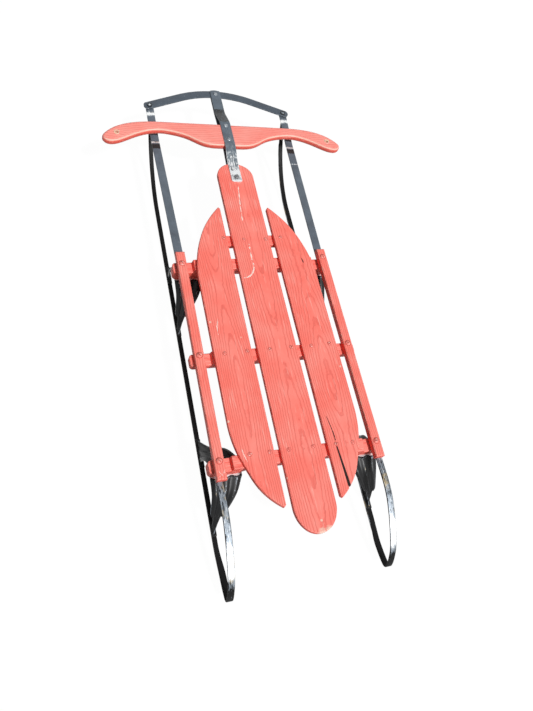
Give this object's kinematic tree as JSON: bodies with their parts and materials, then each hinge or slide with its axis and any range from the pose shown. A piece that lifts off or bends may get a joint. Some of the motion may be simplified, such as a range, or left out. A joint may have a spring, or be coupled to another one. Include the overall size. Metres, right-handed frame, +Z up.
{
  "type": "steerable steel-runner snow sled",
  "caption": "Low snow sled with a slatted deck on T-section steel runners, fluted steel knees, a wooden steering bar and a flat steel bumper bow linked to the flexing runner fronts.",
  "frame": {"origin": "centre of the bounding box's footprint, on the snow under the runners", "axes": "+Y in travel direction, +X to the rider's right, +Z up"},
  "size_m": [0.577, 1.1582, 0.1492],
  "materials": {
    "red_painted_wood": "worn red paint over hardwood, grain showing",
    "black_painted_steel": "black enamel on rolled and pressed steel, worn at edges",
    "blue_grey_steel": "blue-grey enamel on flat steel, rubbed",
    "zinc_steel": "dull zinc plating",
    "brass": "dull brass"
  },
  "bodies": {
    "frame": {"deck_board_center": "red_painted_wood", "deck_board_left": "red_painted_wood", "deck_board_right": "red_painted_wood", "deck_cleat_front": "red_painted_wood", "bench_front": "red_painted_wood", "bench_middle": "red_painted_wood", "bench_rear": "red_painted_wood", "side_rail_left": "red_painted_wood", "side_rail_right": "red_painted_wood", "knee_front_left": "black_painted_steel", "knee_front_right": "black_painted_steel", "knee_rear_left": "black_painted_steel", "knee_rear_right": "black_painted_steel", "runner_left": "black_painted_steel", "runner_right": "black_painted_steel", "strap_tail_left": "blue_grey_steel", "strap_tail_right": "blue_grey_steel", "pivot_bolt": "zinc_steel"},
    "steering": {"handlebar": "red_painted_wood", "steering_strap_upper": "blue_grey_steel", "steering_strap_lower": "blue_grey_steel", "steering_rivets": "blue_grey_steel", "rope_eyelets": "brass"},
    "bumper": {"bumper": "blue_grey_steel"},
    "left_nose": {"nose_runner_left": "black_painted_steel", "nose_strap_left": "blue_grey_steel", "bumper_pin_left": "blue_grey_steel"},
    "right_nose": {"nose_runner_right": "black_painted_steel", "nose_strap_right": "blue_grey_steel", "bumper_pin_right": "blue_grey_steel"}
  },
  "joints": [
    {"name": "steering_pivot", "type": "hinge", "parent": "frame", "child": "steering", "pos_m": [0, 0.3021, 0.134], "axis": [0, 0, 1], "range_deg": [-10, 10], "stiffness_Nm_per_rad": 8},
    {"name": "bumper_pivot", "type": "hinge", "parent": "steering", "child": "bumper", "pos_m": [0, 0.5661, 0.1265], "axis": [0, 0, 1], "range_deg": [-10, 10]},
    {"name": "left_nose_flex", "type": "hinge", "parent": "frame", "child": "left_nose", "pos_m": [-0.167, 0.1749, 0], "axis": [0, 0, 1], "range_deg": [-8, 8]},
    {"name": "right_nose_flex", "type": "hinge", "parent": "frame", "child": "right_nose", "pos_m": [0.167, 0.1749, 0], "axis": [0, 0, 1], "range_deg": [-8, 8]}
  ],
  "couplings": [
    {"joint": "bumper_pivot", "follows": "steering_pivot", "ratio": -1},
    {"joint": "left_nose_flex", "follows": "steering_pivot", "ratio": 0.7645},
    {"joint": "right_nose_flex", "follows": "steering_pivot", "ratio": 0.7645}
  ]
}
